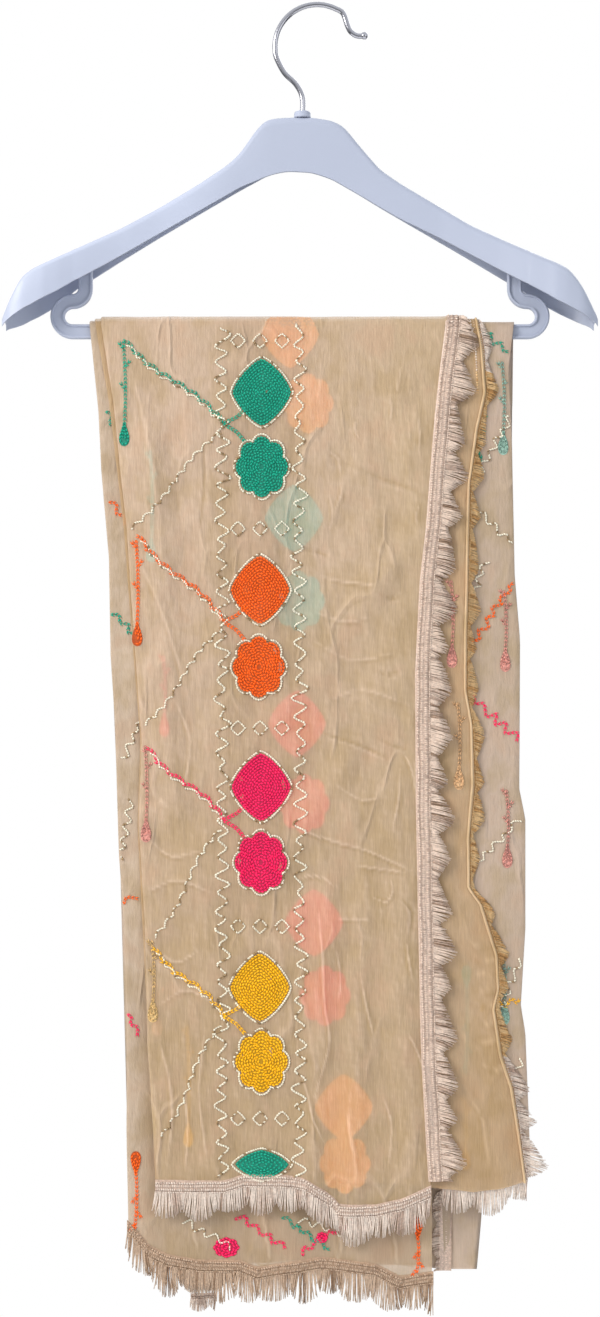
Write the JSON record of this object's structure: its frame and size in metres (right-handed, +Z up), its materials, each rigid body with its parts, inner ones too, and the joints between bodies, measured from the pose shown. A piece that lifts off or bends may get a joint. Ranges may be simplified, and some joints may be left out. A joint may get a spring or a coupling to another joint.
{
  "type": "embroidered chiffon dupatta on a hanger",
  "caption": "Sheer beige chiffon dupatta with chain-stitch embroidery and fringed lace edges, folded and hung over the trouser bar of a grey plastic hanger with a chromed hook.",
  "frame": {"origin": "inside of the hook's top, where a rail carries the hanger", "axes": "+Z up, front towards -Y, +X to the right seen from the front"},
  "size_m": [0.39, 0.0442, 0.8695],
  "materials": {
    "hanger_plastic": "lilac grey, satin moulded",
    "hook_chrome": "bright plated wire",
    "chiffon": "sheer beige chiffon, plain weave",
    "lace": "champagne lace band with silky fringe"
  },
  "bodies": {
    "root": {"hanger_body": "hanger_plastic", "hanger_collar": "hanger_plastic", "hanger_hook": "hook_chrome", "hanger_bar": "hanger_plastic", "dupatta_front_outer": "chiffon", "dupatta_front_second": "chiffon", "dupatta_second_end": "chiffon", "dupatta_folded_layers": "chiffon", "dupatta_rear_outer": "chiffon", "dupatta_rear_second": "chiffon", "trim_front_edge": "lace", "trim_front_hem": "lace", "trim_second_edge": "lace", "trim_second_hem": "lace", "trim_end_hem": "lace", "trim_rear_edge": "lace", "trim_inner_edge": "lace", "trim_low_corner": "lace"}
  },
  "joints": []
}
